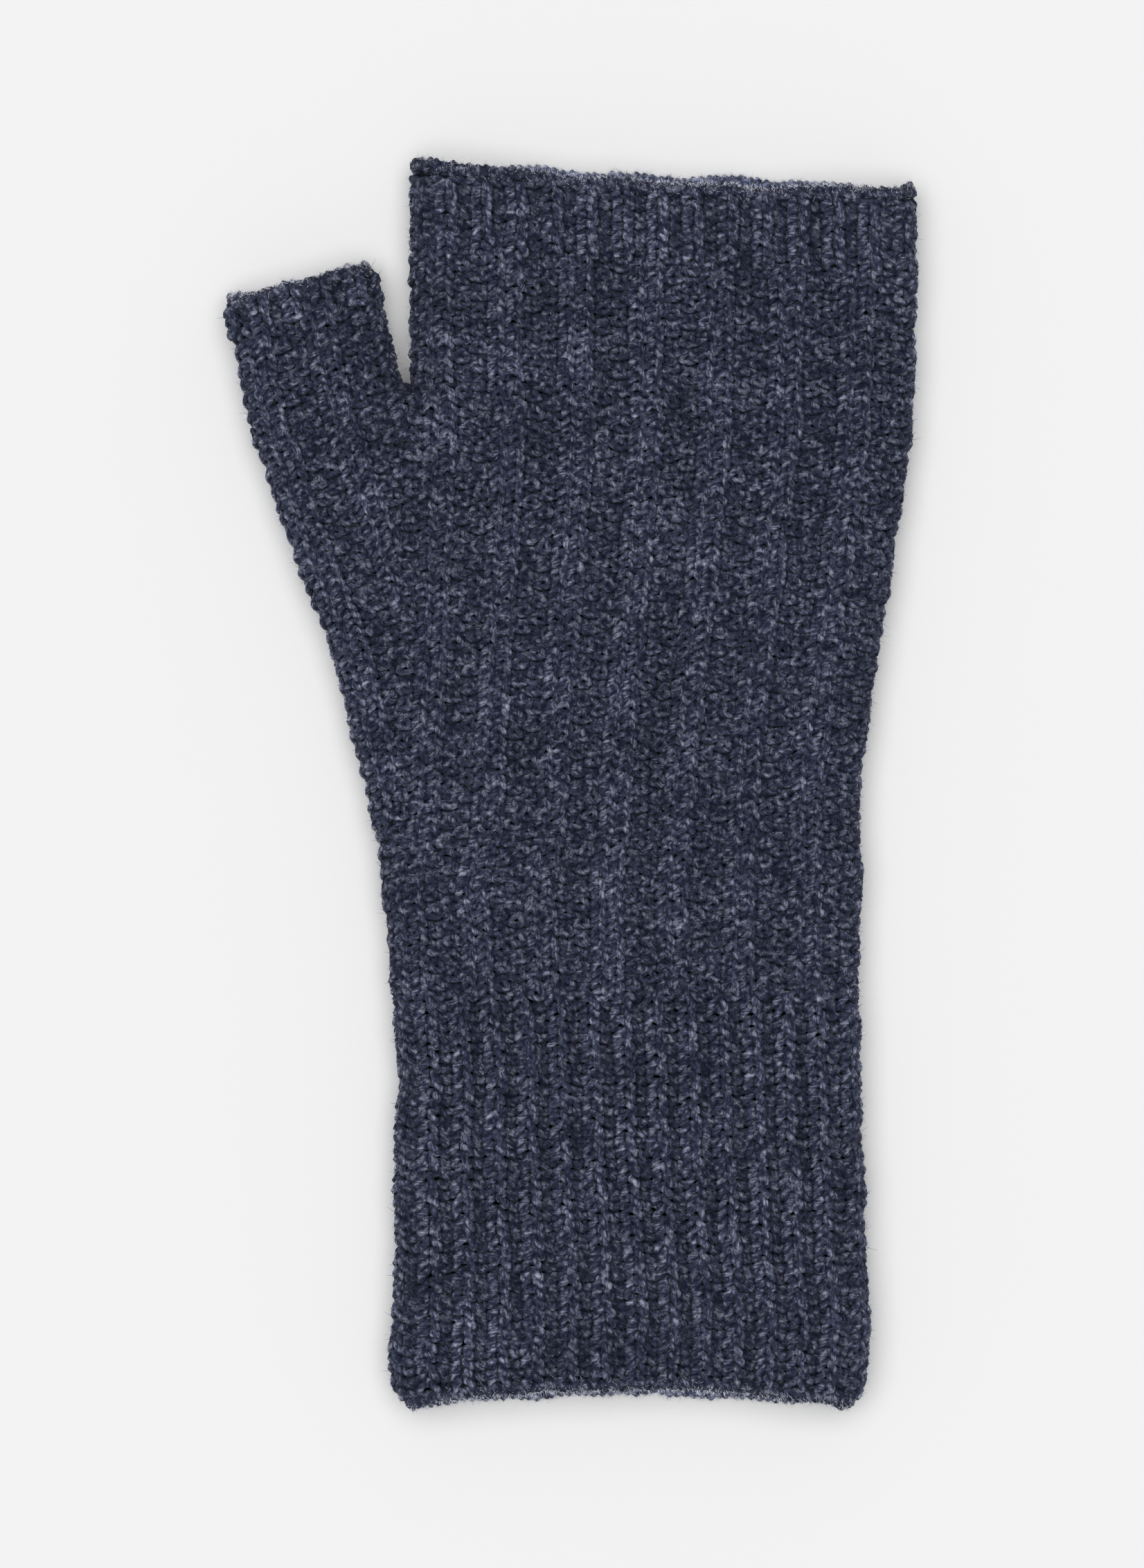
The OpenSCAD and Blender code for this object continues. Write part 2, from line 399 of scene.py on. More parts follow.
def loop_path(signs, next_signs, base, steps, reach, lift, bow):
    """Offsets of one row's yarn from the row line, for every stitch, as wale, row and height parts.

    With t from -pi to pi over a stitch, the wale part is t / 2 pi + bow sin 2t, which gives a wide head and
    a narrow foot, and the row part is -reach cos t. The height is keyed at the joins with the neighbours, the
    two legs and the head: legs stand out in a knit stitch and lie back in a purl stitch, heads and joins the
    other way. base is the height of the wale itself, keyed in the same way.
    """
    n = len(signs)
    t = (np.arange(steps) + 0.5) / steps * 2 * np.pi - np.pi
    wale = np.arange(n)[:, None] + 0.5 + (t / (2 * np.pi) + bow * np.sin(2 * t))[None, :]
    row = np.broadcast_to(-reach * np.cos(t), (n, steps))

    def keyed(middle, legs, lead):
        """Height over each stitch, eased by cosines from join to leg to middle to leg to join."""
        joins = lead * (np.concatenate([legs[:1], legs]) + np.concatenate([legs, legs[-1:]])) / 2
        keys = np.stack([joins[:-1], legs, middle, legs, joins[1:]], 1)
        at = (t + np.pi) / (np.pi / 2)
        k = np.clip(at.astype(int), 0, 3)
        f = (1 - np.cos((at - k) * np.pi)) / 2
        return keys[:, k] * (1 - f) + keys[:, k + 1] * f

    height = lift * keyed(-next_signs, signs, -1) + keyed(base, base, 1)
    return wale.ravel(), row.ravel(), height.ravel()


def tube(path, normal, radius, sides, phase=0.0):
    """Closed tube round a path: a ring of points across it at each point, from the side away from normal.

    It returns points, quads, and a UV value for each quad corner: length along the yarn and share round it.
    """
    tangent = np.gradient(path, axis=0)
    tangent /= np.linalg.norm(tangent, axis=1, keepdims=True) + 1e-9
    across = np.cross(tangent, normal)
    across /= np.linalg.norm(across, axis=1, keepdims=True) + 1e-9
    out = np.cross(across, tangent)
    angle = np.arange(sides) / sides * 2 * np.pi - np.pi / 2
    ring = across[:, None, :] * np.cos(angle)[None, :, None] + out[:, None, :] * np.sin(angle)[None, :, None]
    points = path[:, None, :] + ring * np.broadcast_to(radius, len(path))[:, None, None]
    length = np.concatenate([[0], np.cumsum(np.linalg.norm(np.diff(path, axis=0), axis=1))]) + phase
    n = len(path)
    i = np.arange(n - 1)[:, None] * sides
    k = np.arange(sides)[None, :]
    k1 = (k + 1) % sides
    quads = np.stack([i + k, i + sides + k, i + sides + k1, i + k1], -1).reshape(-1, 4)
    v0 = np.broadcast_to(k / sides, (n - 1, sides))
    v1 = v0 + 1 / sides
    u0 = np.broadcast_to(length[:-1, None], (n - 1, sides))
    u1 = np.broadcast_to(length[1:, None], (n - 1, sides))
    uv = np.stack([u0, v0, u1, v0, u1, v1, u0, v1], -1).reshape(-1, 4, 2)
    return points.reshape(-1, 3), quads, uv


def mesh_piece(name, points, quads, caps, uv, rise, material):
    """Mesh object from arrays of points in millimetres, quads, end caps and corner UVs, smooth shaded.

    rise is each point's height over its layer in millimetres, or a set value on edges, seams and fibres, kept
    as an attribute of the mesh; the wool paints light and shade from it.
    """
    mesh = bpy.data.meshes.new(name)
    mesh.vertices.add(len(points))
    mesh.vertices.foreach_set("co", (points * MM).ravel())
    loops = np.concatenate([quads.ravel(), caps.ravel()])
    starts = np.concatenate([np.arange(len(quads)) * 4, quads.size + np.arange(len(caps)) * caps.shape[1]])
    mesh.loops.add(len(loops))
    mesh.loops.foreach_set("vertex_index", loops.astype(np.int32))
    mesh.polygons.add(len(starts))
    mesh.polygons.foreach_set("loop_start", starts.astype(np.int32))
    mesh.update(calc_edges=True)
    mesh.polygons.foreach_set("use_smooth", np.ones(len(starts), bool))
    corners_uv = np.concatenate([uv.reshape(-1, 2), np.zeros((caps.size, 2))])
    mesh.uv_layers.new(name="yarn").data.foreach_set("uv", corners_uv.ravel())
    mesh.attributes.new("rise", "FLOAT", "POINT").data.foreach_set("value", rise.astype(np.float32))
    mesh.validate()
    piece = bpy.data.objects.new(name, mesh)
    bpy.context.scene.collection.objects.link(piece)
    mesh.materials.append(material)
    return piece


class Yarns:
    """Collects tubes of yarn and turns them into one mesh piece."""

    def __init__(self, sides):
        self.sides, self.points, self.quads, self.uv, self.caps, self.count = sides, [], [], [], [], 0
        self.lines, self.rise = [], []

    def add(self, path, normal, radius, phase=0.0, rise=0.0):
        """Adds one tube with its two end caps. rise is its path's height over the layer, or a set value; the
        wool paints proud yarn paler from it.
        """
        p, q, uv = tube(path, normal, radius, self.sides, phase)
        ends = np.arange(self.sides)
        self.points.append(p)
        self.quads.append(q + self.count)
        self.uv.append(uv)
        self.caps.append(ends + self.count)
        self.caps.append(ends[::-1] + self.count + len(p) - self.sides)
        self.count += len(p)
        self.lines.append((path, normal))
        self.rise.append(np.repeat(np.broadcast_to(rise, len(path)), self.sides))

    def make(self, name, material):
        """The mesh piece."""
        return mesh_piece(name, np.concatenate(self.points), np.concatenate(self.quads), np.array(self.caps),
                          np.concatenate(self.uv), np.concatenate(self.rise), material)


# ---------------------------------------------------------------- rows of stitches

RIB, TWEED = 0, 1
RIB_RELIEF = 0.9  # relief of the rib's wales as a share of the layer's
RIB_PLUMP = 1.10  # thickness of the rib's yarn as a share of the layer's
RIB_CLOSE = 0.12  # how far a rib's wales draw in over the purl wales, in wales

# How a side is knitted: points along a stitch and round the yarn, the loop's reach as a share of the row's
# height, its lift in millimetres, its bow in wales, the wales' relief in millimetres, and the yarn's
# thickness as a share of the panel's. The palm is flatter, and coarser in points.
LAYERS = {
    "back": dict(steps=12, sides=6, reach=0.72, lift=0.60, bow=0.30, relief=0.90, plump=1.0),
    "palm": dict(steps=9, sides=5, reach=0.68, lift=0.42, bow=0.30, relief=0.25, plump=1.13),
}


def stitch_sign(kind, row, wale):
    """+1 for a knit and -1 for a purl stitch.

    A rib goes one by one. The tweed has two knit wales and then two wales of moss stitch.
    """
    if kind == RIB:
        return np.where(wale % 2 == 0, 1.0, -1.0)
    return np.where((wale + 3) % 4 < 2, 1.0, np.where((wale + row) % 2 == 0, 1.0, -1.0))


def wale_height(kind, wale):
    """How far a wale stands out of its layer: rib's knit wales and the tweed's knit wales stand proud."""
    if kind == RIB:
        return np.where(wale % 2 == 0, 1.0, -1.0)
    return np.where((wale + 3) % 4 < 2, 0.5, -0.5)


def row_of_yarn(surface, first, last, row, y_row, pitch, kinds, side, rng, flatten=False, end=None):
    """Path, normals, radius, phase and height of one row's yarn from wale first to wale last on a sleeve.

    kinds are the row's pattern and that of the row below. The loop's offsets are added to the sleeve's
    coordinates and along its normal, and each stitch has small errors of its own in place and height. The
    yarn's thickness changes slowly along it, and it swells where it lies sunk. flatten lowers the wales'
    relief towards both folds. end is the last wale's true coordinate where the row ends in a narrower stitch.
    """
    layer = LAYERS[side]
    kind = kinds[0]
    yarn_radius = bpy.context.scene.glove_yarn.radius
    wales = np.arange(first, last)
    count = len(wales)
    signs = stitch_sign(kind, row, wales)
    following = stitch_sign(kinds[1], row - 1, wales)
    relief = layer["relief"] * (RIB_RELIEF if kind == RIB else 1.0)
    if flatten:
        relief = relief * ease((np.minimum(wales - first, last - 1 - wales) + 0.5) / 4)
    wale, along, height = loop_path(signs, following, wale_height(kind, wales) * relief, layer["steps"],
                                    layer["reach"] * pitch, layer["lift"], layer["bow"])

    # Errors are sideways in wales, in the loop's reach as a share, along in rows, and in height.
    error = np.clip(rng.normal(0, 1, (4, 2 * count + 1)), -2, 2)
    at, knots = np.clip(wale, 0, count) * 2, np.arange(2 * count + 1)
    wale = wale + 0.065 * np.interp(at, knots, error[0])
    along = along * (1 + 0.10 * np.interp(at, knots, error[1]))
    along = along + 0.12 * pitch * np.interp(at, knots, error[2])
    height = height + 0.15 * np.interp(at, knots, error[3])
    wale = np.clip(wale, 0.02, count - 0.02)
    if end is not None:
        wale = np.where(wale > count - 1, count - 1 + (wale - count + 1) * (end - last + 1), wale)
    if kind == RIB:
        wale = wale + RIB_CLOSE * (1 - np.cos(np.pi * (first + wale)))

    point, normal = surface(first + wale, y_row + along)
    path = point + normal * height[:, None]
    path[:, 2] = np.maximum(path[:, 2], yarn_radius)
    knots = np.arange(len(path) // 40 + 2) * 40
    slow = np.interp(np.arange(len(path)), knots, rng.normal(0, 1, len(knots)))
    plump = layer["plump"] * (RIB_PLUMP if kind == RIB else 1.0)
    radius = yarn_radius * plump * (1 + 0.05 * slow + 0.18 * np.clip(-height, 0, 1.2))
    return path, normal, radius, rng.uniform(0, 500), height


def body_rows(low, high, pitch):
    """Row heights from low to high at about that pitch, and the true pitch."""
    count = max(int(round((high - low) / pitch)), 1)
    step = (high - low) / count
    return low + (np.arange(count) + 0.5) * step, step


# ---------------------------------------------------------------- wool

def linear(colour):
    """Linear colour with alpha from an sRGB hex colour: each part is raised to 2.4 after its offset."""
    parts = [int(colour[i:i + 2], 16) / 255 for i in (1, 3, 5)]
    return [c / 12.92 if c <= 0.04045 else ((c + 0.055) / 1.055) ** 2.4 for c in parts] + [1.0]


def add_node(tree, kind, inputs=(), **attributes):
    """Adds a node, sets its attributes, and links or sets its inputs, given as name or index and value."""
    node = tree.nodes.new(kind)
    for key, value in attributes.items():
        setattr(node, key, value)
    for key, value in dict(inputs).items():
        if isinstance(value, bpy.types.NodeSocket):
            tree.links.new(value, node.inputs[key])
        else:
            node.inputs[key].default_value = value
    return node


PLY_TURN = 3.2  # length in which the plies wind once round the yarn, in millimetres
FIBRE_STREAKS = (0.9, 9.0, 1.0)  # fibre streaks to a millimetre along the yarn, and to a turn round it
MARL_SLUBS = 780.0  # slubs of lighter and darker wool to a metre, so about 1.3 mm across
DYE_PATCHES = 90.0  # patches of uneven dye to a metre, so about 11 mm across with finer ones in them


def wool(name, colours, shade=1.0):
    """Marled wool spun as a two-ply yarn: matt, with fibres of three colours and painted shade in the groove
    between plies.

    The yarn UV gives length in millimetres and share round the yarn. Their sum winds round the yarn and gives
    the groove. Fibre streaks are noise stretched along the yarn, and a second noise in space makes whole
    stitches lighter or darker. shade scales the groove's and the plies' tone; above 1 it paints loose fibres
    paler, as painted light through them.
    """
    material = bpy.data.materials.new(name)
    material.use_nodes = True
    tree = material.node_tree
    tree.nodes.clear()
    uv = add_node(tree, "ShaderNodeUVMap", uv_map="yarn")
    part = add_node(tree, "ShaderNodeSeparateXYZ", {0: uv.outputs[0]})
    space = add_node(tree, "ShaderNodeTexCoord")
    length, round_ = part.outputs[0], part.outputs[1]

    turn = add_node(tree, "ShaderNodeMath", {0: length, 1: 1 / PLY_TURN, 2: round_}, operation="MULTIPLY_ADD")
    angle = add_node(tree, "ShaderNodeMath", {0: turn.outputs[0], 1: 4 * np.pi}, operation="MULTIPLY")
    wave = add_node(tree, "ShaderNodeMath", {0: angle.outputs[0]}, operation="SINE")
    groove = add_node(tree, "ShaderNodeMapRange", {0: wave.outputs[0], 1: -1.0, 2: -0.2, 3: 0.0, 4: 1.0},
                      interpolation_type="SMOOTHSTEP")

    # Fibre streaks about 1.1 mm long and 0.4 mm wide, with streaks of a half and a quarter of that in them.
    fibre_at = add_node(tree, "ShaderNodeCombineXYZ", {0: length, 1: turn.outputs[0]})
    stretched = add_node(tree, "ShaderNodeVectorMath", {0: fibre_at.outputs[0], 1: FIBRE_STREAKS},
                         operation="MULTIPLY")
    fibres = add_node(tree, "ShaderNodeTexNoise", {
        "Vector": stretched.outputs[0], "Scale": 1.0, "Detail": 2.0, "Roughness": 0.6})
    marl = add_node(tree, "ShaderNodeTexNoise", {
        "Vector": space.outputs["Object"], "Scale": MARL_SLUBS, "Detail": 2.0, "Roughness": 0.55})
    marled = add_node(tree, "ShaderNodeMath", {0: marl.outputs[0], 1: 0.56}, operation="MULTIPLY")
    tone = add_node(tree, "ShaderNodeMath", {0: fibres.outputs[0], 1: 0.40, 2: marled.outputs[0]},
                    operation="MULTIPLY_ADD")
    ramp = add_node(tree, "ShaderNodeValToRGB", {0: tone.outputs[0]})
    points = ramp.color_ramp.elements
    points[0].position, points[1].position = 0.36, 0.70
    points[0].color, points[1].color = linear(colours[0]), linear(colours[2])
    middle = points.new(0.49)
    middle.color = linear(colours[1])
    # Painted shade: the groove between the plies is darkened, down to 0.62 of the tone, for the shade that
    # falls in it.
    painted_groove_shade = add_node(tree, "ShaderNodeMapRange", {0: groove.outputs[0], 3: 0.62 * shade, 4: 1.0 * shade})

    # Painted light and shade: proud stitches are painted paler and sunk ones darker, from 1.2 mm below the
    # layer's middle to as much above, and pieces given a large rise are painted paler still.
    rise = add_node(tree, "ShaderNodeAttribute", attribute_name="rise")
    painted_rise_light = add_node(tree, "ShaderNodeMapRange", {0: rise.outputs["Fac"], 1: -1.2, 2: 1.2, 3: 0.58, 4: 1.30},
                      clamp=False)
    # Painted light and shade: the yarn's top, which faces out, is painted paler and its flanks darker.
    off_top = add_node(tree, "ShaderNodeMath", {0: round_, 1: 0.5}, operation="SUBTRACT")
    off = add_node(tree, "ShaderNodeMath", {0: off_top.outputs[0]}, operation="ABSOLUTE")
    painted_top_light = add_node(tree, "ShaderNodeMapRange", {0: off.outputs[0], 1: 0.03, 2: 0.30, 3: 1.16, 4: 0.38},
                     interpolation_type="SMOOTHSTEP")
    patches = add_node(tree, "ShaderNodeTexNoise", {
        "Vector": space.outputs["Object"], "Scale": DYE_PATCHES, "Detail": 3.0, "Roughness": 0.5})
    dyed = add_node(tree, "ShaderNodeMapRange", {0: patches.outputs[0], 1: 0.3, 2: 0.7, 3: 0.74, 4: 1.28})
    painted_light_and_dye = add_node(tree, "ShaderNodeMath", {0: painted_rise_light.outputs[0], 1: dyed.outputs[0]}, operation="MULTIPLY")
    lit = add_node(tree, "ShaderNodeMath", {0: painted_light_and_dye.outputs[0], 1: painted_top_light.outputs[0]}, operation="MULTIPLY")
    whole = add_node(tree, "ShaderNodeMath", {0: lit.outputs[0], 1: painted_groove_shade.outputs[0]}, operation="MULTIPLY")
    # Painted light: a small constant blue is added to every colour, standing for light scattered between the
    # fibres, and keeps the darkened and sunk parts blue.
    dimmed = add_node(tree, "ShaderNodeVectorMath", {0: ramp.outputs[0], 3: whole.outputs[0]},
                      operation="SCALE")
    base = add_node(tree, "ShaderNodeVectorMath", {0: dimmed.outputs[0], 1: (0.0, 0.0012, 0.009)},
                    operation="ADD")

    height = add_node(tree, "ShaderNodeMath", {0: fibres.outputs[0], 1: 0.5, 2: groove.outputs[0]},
                      operation="MULTIPLY_ADD")
    bump = add_node(tree, "ShaderNodeBump", {
        "Height": height.outputs[0], "Distance": 0.18 * MM, "Strength": 0.8})
    shader = add_node(tree, "ShaderNodeBsdfPrincipled", {
        "Base Color": base.outputs[0], "Roughness": 0.9, "IOR": 1.45, "Specular IOR Level": 0.25,
        "Normal": bump.outputs[0], "Sheen Weight": 0.15, "Sheen Roughness": 0.45,
        "Sheen Tint": linear("#9aa0b8")})
    output = add_node(tree, "ShaderNodeOutputMaterial")
    tree.links.new(shader.outputs[0], output.inputs[0])
    return material


def wool_named(name):
    """The wool of that name, made once, from the panel's colours."""
    found = bpy.data.materials.get(name)
    if found:
        return found
    c = bpy.context.scene.glove_colours
    # The fringe's wool is painted pale, for light through its fibres.
    if name == "edge_fuzz_wool":
        return wool(name, (c.light, c.edge_fuzz, c.edge_fuzz), c.pale_share)
    return wool(name, (c.dark, c.middle, c.light), c.pale_share if name == "fuzz_wool" else 1.0)


# ---------------------------------------------------------------- settings

class GLOVE_PG_yarn(bpy.types.PropertyGroup):
    """Sizes of the yarn and its stitches."""

    radius: bpy.props.FloatProperty(
        name="Yarn radius", description="Half of the yarn's thickness, in millimetres",
        default=0.61, min=0.3, max=0.9)
    cuff_pitch: bpy.props.FloatProperty(
        name="Cuff row", description="Height of one row in the cuff, in millimetres",
        default=1.8, min=1.2, max=2.6)
    hand_pitch: bpy.props.FloatProperty(
        name="Hand row", description="Height of one row in the hand, in millimetres",
        default=1.55, min=1.2, max=2.6)
    gusset_wale: bpy.props.FloatProperty(
        name="Gusset wale", description="Width of one wale in the gusset, in millimetres",
        default=2.85, min=2.0, max=4.0)
    seed: bpy.props.IntProperty(
        name="Seed", description="Seed of the small errors in the stitches", default=7)


class GLOVE_PG_fuzz(bpy.types.PropertyGroup):
    """The loose fibres that stand out of the yarn."""

    per_mm: bpy.props.FloatProperty(
        name="Fibres", description="Loose fibres for each millimetre of row", default=2.1, min=0.0, max=6.0)
    length: bpy.props.FloatProperty(
        name="Length", description="Longest fibre, in millimetres", default=1.5, min=0.5, max=4)
    edge_per_mm: bpy.props.FloatProperty(
        name="Fringe", description="Fibres for each millimetre of edge or seam",
        default=15.0, min=0.0, max=60.0)
    edge_length: bpy.props.FloatProperty(
        name="Fringe length", description="Longest fringe fibre, in millimetres", default=0.8, min=0.3, max=4)
    radius: bpy.props.FloatProperty(
        name="Radius", description="Half of a fibre's thickness, in millimetres",
        default=0.034, min=0.01, max=0.1)


class GLOVE_PG_colours(bpy.types.PropertyGroup):
    """The marl's three colours, and how pale loose fibres are against the yarn."""

    dark: bpy.props.StringProperty(
        name="Dark fibres", description="Hex colour of the dark fibres", default="#101521")
    middle: bpy.props.StringProperty(
        name="Main fibres", description="Hex colour of the main fibres", default="#343848")
    light: bpy.props.StringProperty(
        name="Light fibres", description="Hex colour of the light fibres", default="#9194a5")
    # Painted light: the fringe fibres are painted near white, for the light that shines through loose fibres
    # at the edges.
    edge_fuzz: bpy.props.StringProperty(
        name="Edge fuzz", description="Hex colour of the pale fibres along the edges", default="#dcdce2")
    # Painted light: loose fibres are painted paler than the yarn, for the light that passes through them.
    pale_share: bpy.props.FloatProperty(
        name="Fuzz tone", description="Tone of the loose fibres as a share of the yarn's",
        default=1.15, min=0.2, max=3)


class GLOVE_PG_stage(bpy.types.PropertyGroup):
    """Floor, light and camera."""

    floor: bpy.props.StringProperty(name="Floor", description="Hex colour of the floor", default="#f3f3f3")
    sun: bpy.props.FloatProperty(
        name="Key light", description="Strength of the soft key light", default=2.36, min=0)
    sky: bpy.props.FloatProperty(
        name="Fill light", description="Strength of the light from all round", default=0.25, min=0)
    softness: bpy.props.FloatProperty(
        name="Softness", description="Angle that the key light fills",
        default=np.radians(62), subtype="ANGLE")
    framed: bpy.props.FloatProperty(
        name="Framed length", description="Length that the picture's long side takes in",
        default=0.2695, subtype="DISTANCE")
    lens: bpy.props.FloatProperty(
        name="Lens", description="Focal length", default=120, min=20, subtype="DISTANCE_CAMERA")


# ---------------------------------------------------------------- knitting

BODIES = {"hand": ("hand",), "finger": ("hand",), "thumb": ("hand", "thumb"), "cuff": ("hand", "cuff")}
BENDS = {
    "thumb": (tuple(Glove.pivot * MM),
              tuple((Glove.pivot + THUMB_BEND * np.append(Glove.thumb_along, 0)) * MM)),
    "cuff": ((0, Glove.wrist_y * MM, 0), (0, (Glove.wrist_y - WRIST_BEND) * MM, 0)),
}
MADE = {}  # the pieces of yarn that fibres grow on: each one's lines, its kind and its bodies


def seeded(offset, side="back"):
    """Random numbers of one step of the knitting, apart from each other step's."""
    return np.random.default_rng(bpy.context.scene.glove_yarn.seed + offset + (side == "palm"))


def finish_piece(piece, node, bodies):
    """Attaches a piece to its only body; a piece with two bodies is only baked in place, its bend not made.
    Hides the frame node that it stands for.
    """
    if len(bodies) == 1:
        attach(piece, bodies[0])
    else:
        start, end = BENDS[bodies[1]]
        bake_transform(piece)
        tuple(start)
        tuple(end)
    if node:
        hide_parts(node)


def make_layer(part, side, rows, material, bodies, pieces=1):
    """One side of a knitted part: its rows of yarn, shared out over a number of pieces."""
    name = f"{part}_{side}_knit"
    share = int(np.ceil(len(rows) / pieces))
    for i in range(pieces):
        yarns = Yarns(LAYERS[side]["sides"])
        for row in rows[i * share:(i + 1) * share]:
            yarns.add(*row)
        piece = yarns.make(name if pieces == 1 else f"{name}_{i + 1}", wool_named(material))
        finish_piece(piece, f"{part}_{side}", bodies)
        MADE[piece.name] = (yarns.lines, side, bodies)


def sleeve_rows(surface, heights, pitch, side, first_row, kind_at, rng):
    """Rows on half of a sleeve: the back is wales 0 to WALES, the palm the rest, from the far fold on."""
    first, last = (0, WALES) if side == "back" else (WALES, 2 * WALES)
    rows = []
    for i, y in enumerate(heights):
        row, kinds = first_row + i, (kind_at(i), kind_at(i - 1))
        rows.append(row_of_yarn(surface, first, last, row, y, pitch, kinds, side, rng, flatten=True))
    return rows


def gusset_count(y_row):
    """Wales across the gusset's or thumb's half of a row, which is seldom a whole number."""
    return thumb_span(y_row) / bpy.context.scene.glove_yarn.gusset_wale


def gusset_rows(heights, pitch, side, first_row, kind_at, rng):
    """Rows on the gusset or thumb, with as many wales as the width holds, the last narrower as it is born."""
    sign = 1.0 if side == "back" else -1.0
    rows = []
    for i, y in enumerate(heights):
        count = max(gusset_count(y), 0.0)
        whole = int(np.ceil(count - 0.35))
        if whole < 1:
            continue

        def surface(q, y_row, count=count):
            """The sleeve's half on this side, for a row of count wales."""
            return thumb_surface(sign * np.maximum(q, 1e-3), y_row, np.full_like(q, count))

        row, kinds = first_row + i, (kind_at(i), kind_at(i - 1))
        rows.append(row_of_yarn(surface, 0, whole, row, y, pitch, kinds, side, rng, end=count))
    return rows


class GLOVE_OT_cuff(bpy.types.Operator):
    """Knits the ribbed cuff, back and palm"""
    bl_idname = "glove.cuff"
    bl_label = "Cuff"

    def execute(self, context):
        for side, short in SHORT["cuff"]:
            low = Glove.hem_y + short
            heights, pitch = body_rows(low, Glove.wrist_y, context.scene.glove_yarn.cuff_pitch)
            rows = sleeve_rows(cuff_surface, heights, pitch, side, 0, lambda i: RIB, seeded(0, side))
            make_layer("cuff", side, rows, "cuff_wool", BODIES["cuff"])
        return {"FINISHED"}


def hand_kind(i):
    """Pattern of the hand's row i: tweed, over the cuff's rib."""
    return RIB if i < 0 else TWEED


class GLOVE_OT_hand(bpy.types.Operator):
    """Knits the hand with its gusset, back and palm"""
    bl_idname = "glove.hand"
    bl_label = "Hand"

    def execute(self, context):
        heights, pitch = body_rows(Glove.wrist_y, Glove.band_y, context.scene.glove_yarn.hand_pitch)
        low = heights[heights < CROTCH_Y]
        for side, pieces in (("back", 3), ("palm", 2)):
            rng = seeded(10, side)
            rows = sleeve_rows(body_surface, heights, pitch, side, 0, hand_kind, rng)
            rows += gusset_rows(low, pitch, side, 0, hand_kind, rng)
            rows.sort(key=lambda row: row[0][:, 1].mean())
            make_layer("hand", side, rows, "hand_wool", BODIES["hand"], pieces)
        return {"FINISHED"}


class GLOVE_OT_band(bpy.types.Operator):
    """Knits the ribbed band round the finger opening"""
    bl_idname = "glove.band"
    bl_label = "Finger band"

    def execute(self, context):
        for side, short in SHORT["finger"]:
            top = Glove.top_left - short
            heights, pitch = body_rows(Glove.band_y, top, context.scene.glove_yarn.hand_pitch)
            rows = sleeve_rows(body_surface, heights, pitch, side, 1, lambda i: TWEED if i < 0 else RIB,
                               seeded(20, side))
            make_layer("finger_band", side, rows, "cuff_wool", BODIES["finger"])
        return {"FINISHED"}


class GLOVE_OT_thumb(bpy.types.Operator):
    """Knits the thumb from the crotch out, its last three rows ribbed"""
    bl_idname = "glove.thumb"
    bl_label = "Thumb"

    def execute(self, context):
        heights, pitch = body_rows(Glove.wrist_y, Glove.band_y, context.scene.glove_yarn.hand_pitch)
        first = int((heights < CROTCH_Y).sum())
        for side, short in SHORT["thumb"]:
            high = heights[first:]
            high = high[high < THUMB_TOP - short]
            ribbed_from = len(high) - 3
            rows = gusset_rows(high, pitch, side, first, lambda i: TWEED if i < ribbed_from else RIB,
                               seeded(30, side))
            make_layer("thumb", side, rows, "hand_wool", BODIES["thumb"])
        return {"FINISHED"}


# ---------------------------------------------------------------- edges, seams and ends

CHAIN_LINK = 2.85  # length of one link of a bound edge's chain
CHAIN_HALF = 0.8  # how far a strand swings to each side
EDGE_STEPS = 481  # points round the finger opening or the hem
THUMB_EDGE_STEPS = 241  # points over each side of the thumb's opening


def arc_length(line):
    """Distance along a line of points, at each of them."""
    return np.concatenate([[0], np.cumsum(np.linalg.norm(np.diff(line, axis=0), axis=1))])


def at_length(where, s, values):
    """A line's points or normals at given distances along it, where s is the distance at each of its own."""
    return np.stack([np.interp(where, s, values[:, i]) for i in range(3)], -1)


def chain_path(line, outward, pitch, width, height, steps=16):
    """Two strands of a chain laid along a line, one link each pitch.

    Each strand is a zigzag, across = width sin(2 pi s), with a small backward lap. The two strands are half a
    link apart, one above the other where they cross.
    """
    s = arc_length(line)
    count = max(int(round(s[-1] / pitch)), 2)
    t = np.linspace(0, count, count * steps + 1)
    strands = []
    for k in (0.0, 0.5):
        lap = 0.22 * np.sin(4 * np.pi * (t + k))
        at = np.clip((t + lap) / count, 0, 1) * s[-1]
        base, out = at_length(at, s, line), at_length(at, s, outward)
        tangent = np.gradient(base, axis=0)
        tangent /= np.linalg.norm(tangent, axis=1, keepdims=True) + 1e-9
        side = np.cross(tangent, out)
        side /= np.linalg.norm(side, axis=1, keepdims=True) + 1e-9
        path = base + side * (width * np.sin(2 * np.pi * (t + k)))[:, None]
        path = path + out * (height * np.cos(2 * np.pi * (t + k)))[:, None]
        strands.append((path, out))
    return strands


